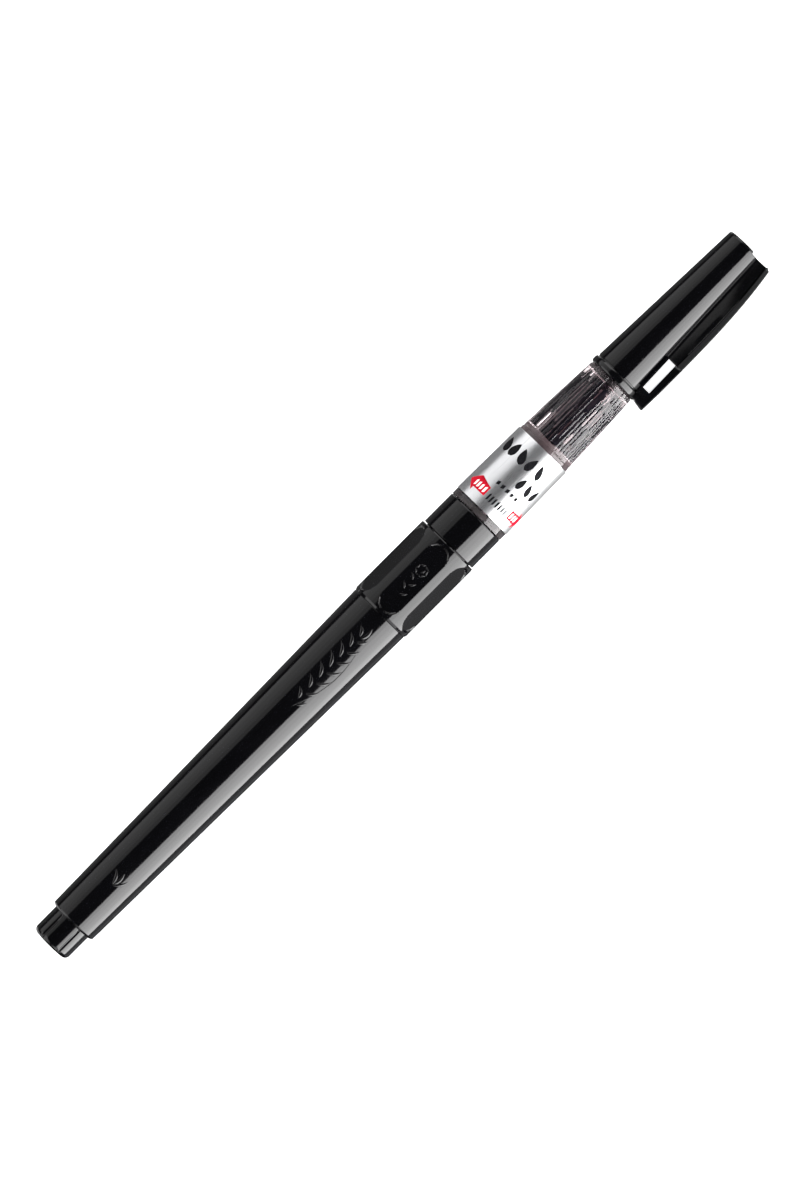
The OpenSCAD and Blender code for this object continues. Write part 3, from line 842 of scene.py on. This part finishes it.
def brush_holder():
    """Nose cone with grip rings that holds the tuft."""
    start, end = ends("brush_holder")
    root = ends("bristle_binding")[0] - 0.03
    shoulder, shank, flare, bore = X_NECK + 0.03, 2.58, 3.0, 1.8
    profile = [(start, R_WICK), (start, shank), (shoulder, shank), (shoulder, flare), (shoulder + 0.8, flare)]
    rings, tip = 5, 2.2
    for f in (k / (rings - 1) for k in range(rings)):
        x, r = lerp(shoulder + 1.0, end - 1.6, f), lerp(2.93, 2.42, f)
        profile += [(x, r), (x + 0.2, r - 0.1), (x + 0.45, r - 0.1), (x + 0.6, r - 0.06)]
    profile += [(end - 0.3, tip), (end, tip - 0.15), (end, bore), (root, bore), (root, R_WICK)]
    mesh = lathe("brush_nose", soften(profile, 0.08), count=128)
    place(mesh, "front_section", "black_plastic", "feed", "brush_holder")


def tuft_radius(f):
    """Radius of the gathered bristles at a share of their free length."""
    root, belly, at = 1.72, 1.93, 0.28
    if f < at:
        return root + (belly - root) * math.sin(math.pi / 2 * f / at)
    return 0.03 + (belly - 0.03) * math.cos(math.pi / 2 * (f - at) / (1 - at)) ** 0.9


def brush_tuft():
    """Bristles gathered to a point, each a thin tapered strand."""
    random.seed(21)
    strands, sides, steps = 620, 5, 14
    free = X_TUFT_END - X_HOLDER_END
    vertices, faces = [], []
    for k in range(strands):
        share = math.sqrt((k + 0.5) / strands)
        angle = k * 2.399963 + random.uniform(-0.1, 0.1)
        thick = random.uniform(0.05, 0.075)
        reach = 1 - random.random() ** 2 * 0.16
        first = len(vertices)
        for i in range(steps + 1):
            f = i / steps * reach
            x = lerp(X_TUFT, X_TUFT_END, f)
            open_share = (x - X_HOLDER_END) / free
            body = 1.7 if open_share < 0 else tuft_radius(open_share)
            away = max(0, (body - thick) * share)
            swirl = angle + 0.05 * math.sin(3 * f + k)
            r = thick * (1 - 0.8 * (i / steps) ** 3)
            for s in range(sides):
                t = 2 * math.pi * s / sides
                y, z = away * math.sin(swirl) + r * math.sin(t), -away * math.cos(swirl) - r * math.cos(t)
                vertices.append((x, y, z))
        for i in range(steps):
            for s in range(sides):
                a, b = first + i * sides + s, first + i * sides + (s + 1) % sides
                faces.append((a, b, b + sides, a + sides))
        last = first + steps * sides
        faces += [tuple(range(first, first + sides)), tuple(range(last, last + sides))]
    mesh = finish_mesh("brush_bristles", vertices, faces, sharp=60)
    place(mesh, "front_section", "bristle", "bristle", "brush_tuft")


# ---- cap and clip

def cap_radius(x):
    """Radius of the cap's round side at a station."""
    return lerp(R_CAP, R_CROWN, (x - X_CAP - 1.4) / (X_CROWN - X_CAP - 1.4))


def clip_reach(x):
    """Distance of the clip's outer face from the axis."""
    tip_drop, crown_drop, end_drop, end_length = 0.15, 1.5, 0.3, 0.4
    if x < X_PEAK:
        return CLIP_REACH - tip_drop * ((X_PEAK - x) / (X_PEAK - X_TIP)) ** 2
    rounding = end_drop * max(0, (x - X_CLIP_END + end_length) / end_length) ** 2.5
    return CLIP_REACH - crown_drop * ((x - X_PEAK) / (X_CLIP_END - X_PEAK)) ** 3 - rounding


def half_clip(x):
    """Half the width of the clip's outer face, which widens over the web."""
    start, extra = X_WEB + 6, 0.3
    return HALF_CLIP + extra * smooth((x - start) / (X_CLIP_END - start))


def clip_corner(wide, reach):
    """Rounded corner between the clip's side and outer face, as (y, distance towards the clip)."""
    y, away = wide - CLIP_CORNER, reach - CLIP_CORNER
    angles = [math.pi / 2 * k / 5 for k in range(6)]
    return [(y + CLIP_CORNER * math.cos(a), away + CLIP_CORNER * math.sin(a)) for a in angles]


def web_outline(x, radius, shrink=0.0):
    """Outline of the web from one side of the cap to the other, as (y, distance towards the clip)."""
    f = min(1, max(0, (x - X_WEB) / (X_CLIP_END - X_WEB)))
    foot = min(lerp(2.3, 2.45, smooth(f * 4)), radius * 0.93) - shrink
    foot_at = math.sqrt(radius * radius - foot * foot) - 0.02
    wide, reach = half_clip(x) - shrink, clip_reach(x) - shrink
    lip, waist = lerp(1.1, 0.75, f), foot - 0.72
    flank_end = reach - lip - 0.4
    slope, turn = 0.288, 0.04
    lean = slope + turn * (0.6 + 0.6 * smooth(f * 2.5) - smooth((f - 0.5) / 0.4))
    flank = flank_end - foot_at - 0.32
    shoulder = min(waist + flank * (lean - turn / 2), wide - 0.08)
    groove = min(shoulder, wide - 0.3) - 0.2
    half = [(foot, foot_at), (foot - 0.35, foot_at + 0.03), (foot - 0.58, foot_at + 0.1),
            (foot - 0.7, foot_at + 0.2), (waist, foot_at + 0.32)]
    for k in range(1, 7):
        g = k / 6
        out = min(waist + flank * g * (lean - turn * g / 2), shoulder)
        half.append((out, lerp(foot_at + 0.32, flank_end, g)))
    half += [(groove + 0.05, flank_end + 0.16), (groove, flank_end + 0.28), (wide - 0.28, flank_end + 0.36),
             (wide - 0.24, flank_end + 0.44), (wide - 0.02, reach - CLIP_CORNER - 0.04)]
    half += clip_corner(wide, reach) + [(wide * 0.4, reach)]
    return half + [(-y, d) for y, d in reversed(half)]


def cap_ring(x, radius, web, shrink=0.0, flat=9.0):
    """One outline of the cap: its round side, then its web or the arc the web leaves, cut at a flat."""
    side = web_outline(max(x, X_WEB), cap_radius(max(x, X_WEB)), shrink)
    foot = math.asin(min(0.99, side[0][0] / cap_radius(max(x, X_WEB))))
    points = []
    around = 150
    for k in range(around):
        angle = foot + (2 * math.pi - 2 * foot) * k / around
        points.append((x, radius * math.sin(angle), -min(flat, radius * math.cos(angle))))
    for k, (y, d) in enumerate(side[::-1]):
        if web:
            points.append((x, y, -d))
        else:
            angle = -foot + 2 * foot * k / (len(side) - 1)
            points.append((x, radius * math.sin(angle), -min(flat, radius * math.cos(angle))))
    return points


def cap():
    """Cap: lip, tapered body with the web that carries the clip, crown, and its bore."""
    lip_end = X_CAP + 1.4
    crown_round, crown_wall, wall, mouth, mouth_end = 0.4, 1.8, 0.85, 3.9, X_CAP + 7.9
    under = cap_radius(lip_end) - 0.14
    lip = soften([(X_CAP, mouth), (X_CAP, R_LIP - 0.16), (X_CAP + 0.3, R_LIP - 0.03), (X_CAP + 0.7, R_LIP),
                  (X_CAP + 1.1, R_LIP - 0.03), (lip_end, R_LIP - 0.16), (lip_end, under),
                  (lip_end + 0.22, under), (lip_end + 0.3, cap_radius(lip_end + 0.3))], 0.12, closed=False)
    rings = [cap_ring(x, r, False) for x, r in lip]
    bare = [lerp(lip_end + 0.4, X_WEB, k / 8) for k in range(9)]
    rings += [cap_ring(x, cap_radius(x), False) for x in bare]
    webbed = [lerp(X_WEB, X_CLIP_END - 0.4, k / 58) for k in range(59)]
    webbed += [X_CLIP_END - t for t in (0.3, 0.2, 0.1)]
    rings += [cap_ring(x, cap_radius(x), True) for x in webbed]
    rings.append(cap_ring(X_CLIP_END, cap_radius(X_CLIP_END), True, 0.1))
    rings.append(cap_ring(X_CLIP_END, cap_radius(X_CLIP_END), False, flat=CROWN_FLAT))
    for k in range(7):
        a = math.pi / 2 * k / 6
        rings.append(cap_ring(X_CROWN - crown_round + crown_round * math.sin(a),
                              cap_radius(X_CROWN) - crown_round + crown_round * math.cos(a), False,
                              flat=CROWN_FLAT - 0.1 * (1 - math.cos(a))))
    ceiling = X_CROWN - crown_wall
    rings += [cap_ring(x, r, False) for x, r in (
        (X_CROWN, 0.01), (ceiling, 0.01), (ceiling, cap_radius(ceiling) - wall),
        (mouth_end, cap_radius(mouth_end) - wall), (mouth_end, mouth))]
    place(loft("cap_body", rings, closed=True, sharp=28), "cap", "black_plastic", "black", "cap_shell")
    clip_end_bead()


def clip_end_bead():
    """Rounded bead across the crown end of the clip's outer face."""
    radius, steps = 0.32, 24
    x, away, wide = X_CLIP_END - 0.15, clip_reach(X_CLIP_END - 0.4) - 0.72, half_clip(X_CLIP_END) - 0.02
    angles = [2 * math.pi * k / steps for k in range(steps)]
    rings = []
    for y, share in ((-wide, 0.02), (-wide + 0.03, 0.5), (-wide + 0.12, 0.85), (-wide + 0.25, 1), (0, 1),
                     (wide - 0.25, 1), (wide - 0.12, 0.85), (wide - 0.03, 0.5), (wide, 0.02)):
        r = radius * share
        rings.append([(x + r * math.cos(a), y, -(away + r * math.sin(a))) for a in angles])
    place(loft("clip_bead", rings), "cap", "black_plastic", "black")


def blade_ring(x, inner, lean=0.0, shrink=0.0):
    """One outline of the blade. inner gives its inner face by y; lean shifts that face along x."""
    wide, steps = HALF_CLIP - shrink, 14
    narrow = wide - 0.28
    across = [lerp(-narrow, narrow, k / steps) for k in range(steps + 1)]
    points = [(x + lean, y, -(inner(y) + shrink)) for y in across]
    corner = clip_corner(wide, clip_reach(x) - shrink)
    points += [(x, y, -away) for y, away in corner]
    return points + [(x, -y, -away) for y, away in reversed(corner)]


def pocket_clip():
    """Blade of the clip with a nub that follows the cap's lip."""
    gap, bevel, lean = 0.1, 0.12, 0.35

    def hug(radius):
        return lambda y: math.sqrt((radius + gap) ** 2 - y * y)

    def flat(x):
        depth = lerp(6.35, 6.2, (x - X_WINDOW) / (X_WEB - X_WINDOW))
        return lambda y: depth

    lip_end = X_CAP + 1.4 + gap
    rings = [blade_ring(X_TIP, hug(R_LIP), lean, bevel), blade_ring(X_TIP + bevel, hug(R_LIP), lean)]
    rings += [blade_ring(lerp(X_TIP + 0.6, lip_end, k / 4), hug(R_LIP)) for k in range(5)]
    rings += [blade_ring(lerp(lip_end, X_WINDOW - 0.1, k / 3), hug(R_CAP)) for k in range(4)]
    rings.append(blade_ring(X_WINDOW, hug(R_CAP + 0.12)))
    rings += [blade_ring(lerp(X_WINDOW, X_WEB - 0.01, k / 12), flat(lerp(X_WINDOW, X_WEB, k / 12)))
              for k in range(13)]
    mesh = loft("clip_blade", rings, sharp=28)
    bm = bmesh.new()
    bm.from_mesh(mesh)
    bmesh.ops.holes_fill(bm, edges=[e for e in bm.edges if e.is_boundary])
    bmesh.ops.recalc_face_normals(bm, faces=bm.faces)
    bm.to_mesh(mesh)
    bm.free()
    place(mesh, "clip", "black_plastic", "black", "pocket_clip")


def dress_hidden_pieces():
    """Materials for the CAD pieces whose shapes are right as they are."""
    finishes = {
        "cartridge": "frosted", "cartridge_plug": "white", "ink_charge": "ink", "spigot_o_ring": "rubber",
        "inlet_tube": "steel", "feed_wick": "wick", "bristle_binding": "bristle", "inner_cap": "white"}
    for node, finish in finishes.items():
        mesh = frame["nodes"][node].data
        mesh.materials.clear()
        mesh.materials.append(MATERIALS[finish])


# ---- stage, light and camera

def backdrop_paper():
    """Bright white paper with a faint fibre."""
    material, shader = new_material("backdrop_paper", {
        "Roughness": 0.9, "Specular IOR Level": 0.1,
        "Emission Color": (1, 1, 1, 1), "Emission Strength": 0.92})
    fibre = noise(material, (900, 900, 900), 3)
    tone(material, shader, fibre, 0, 1, (0.86, 0.86, 0.86, 1), (0.82, 0.82, 0.82, 1))
    return material


def stage():
    """A pale floor that curves up into a backdrop all round."""
    floor_radius, bend, height, count = 2.6, 0.9, 2.2, 96
    profile = [(0.01, 0)] + [(floor_radius * k / 6, 0) for k in range(1, 7)]
    profile += [(floor_radius + bend * math.sin(a), bend - bend * math.cos(a))
                for a in (math.pi / 2 * k / 12 for k in range(1, 13))]
    profile.append((floor_radius + bend, bend + height))
    turns = [2 * math.pi * k / count for k in range(count)]
    bm = bmesh.new()
    rings = [[bm.verts.new((r * math.cos(a), r * math.sin(a), z)) for a in turns] for r, z in profile]
    for low, high in zip(rings, rings[1:]):
        for k in range(count):
            bm.faces.new((low[k], low[(k + 1) % count], high[(k + 1) % count], high[k])).smooth = True
    bm.faces.new(rings[0])
    mesh = bpy.data.meshes.new("backdrop")
    bm.to_mesh(mesh)
    bm.free()
    mesh.materials.append(backdrop_paper())
    floor = bpy.data.objects.new("backdrop", mesh)
    floor.location.z = CAD_BOX[0].z
    floor.visible_glossy = False
    floor.visible_shadow = False
    scene.collection.objects.link(floor)


def softbox(name, angle, spread, radiance, distance=0.75, length=0.8, tilt=0.0):
    """Strip light along the pen. angle goes from the camera's side towards the clip, tilt towards the cap."""
    a, t = math.radians(angle), math.radians(tilt)
    spin = PEN.to_3x3()
    back = spin @ Vector((math.sin(t), -math.cos(t) * math.cos(a), -math.cos(t) * math.sin(a)))
    data = bpy.data.lights.new(name, "AREA")
    data.shape = "RECTANGLE"
    data.size = length
    data.size_y = 2 * distance * math.tan(math.radians(spread) / 2)
    data.energy = radiance * math.pi * data.size * data.size_y
    lamp = bpy.data.objects.new(name, data)
    side = (spin @ Vector((1, 0, 0)) - back * back.x).normalized()
    up = back.cross(side)
    turn = Matrix((side, up, back)).transposed().to_4x4()
    lamp.matrix_world = Matrix.Translation(Vector((0, AXIS_Y, AXIS_Z)) + back * distance) @ turn
    lamp.visible_camera = False
    scene.collection.objects.link(lamp)


def lights():
    """A strong curved bank low on the clip's side, dim ones round the rest and the ends, and a dim room."""
    banks = ((35, 48, 6.0), (48, 65, 7.2), (65, 84, 7.8), (84, 105, 8.6), (105, 150, 0.3), (-33, -47, 0.55),
             (-47, -61, 0.76), (-61, -79, 0.88), (-79, -97, 0.97), (-112, -152, 0.14), (-160, -178, 1.0))
    for k, (start, end, radiance) in enumerate(banks):
        softbox("strip_%d" % k, (start + end) / 2, abs(end - start), radiance)
    end_banks = ((48, 86, 2.2), (-34, -80, 1.7), (-128, -158, 1.2))
    for k, (start, end, radiance) in enumerate(end_banks):
        for side, tilt in (("tail", -48), ("cap", 48)):
            softbox("%s_strip_%d" % (side, k), (start + end) / 2, abs(end - start), radiance, tilt=tilt)
    world = bpy.data.worlds.new("room")
    scene.world = world
    world.use_nodes = True
    world.node_tree.nodes["Background"].inputs["Color"].default_value = (0.05, 0.05, 0.053, 1)
    scene.view_settings.view_transform = "Standard"


def camera():
    """Long lens square to the pen, with the clip in profile and the pen leaning across the frame."""
    lean, lens, sensor = math.radians(45.1), 200.0, 36.0
    picture_height = 212.84
    aside, above = 0.4, -0.9
    distance = picture_height * MM * lens / sensor
    right = Vector((math.cos(lean), 0, -math.sin(lean)))
    up = Vector((math.sin(lean), 0, math.cos(lean)))
    back = Vector((0, -1, 0))
    turn = Matrix((right, up, back)).transposed().to_4x4()
    where = back * distance + (right * aside + up * above) * MM
    data = bpy.data.cameras.new("camera")
    data.lens, data.sensor_width = lens, sensor
    data.clip_start, data.clip_end = 0.05, 20
    cam = bpy.data.objects.new("camera", data)
    cam.matrix_world = PEN @ Matrix.Translation(where) @ turn
    scene.collection.objects.link(cam)
    scene.camera = cam


def main():
    """Builds the whole scene."""
    camera()
    tail_plug()
    barrel()
    grip_sleeve()
    front_collar()
    barrel_sprig()
    tail_sprig()
    grip_mark()
    clear_housing()
    flange_washer()
    label()
    label_print()
    feed_collector()
    collector_rings()
    chamber_ink()
    brush_holder()
    brush_tuft()
    cap()
    pocket_clip()
    dress_hidden_pieces()
    stage()
    lights()


main()
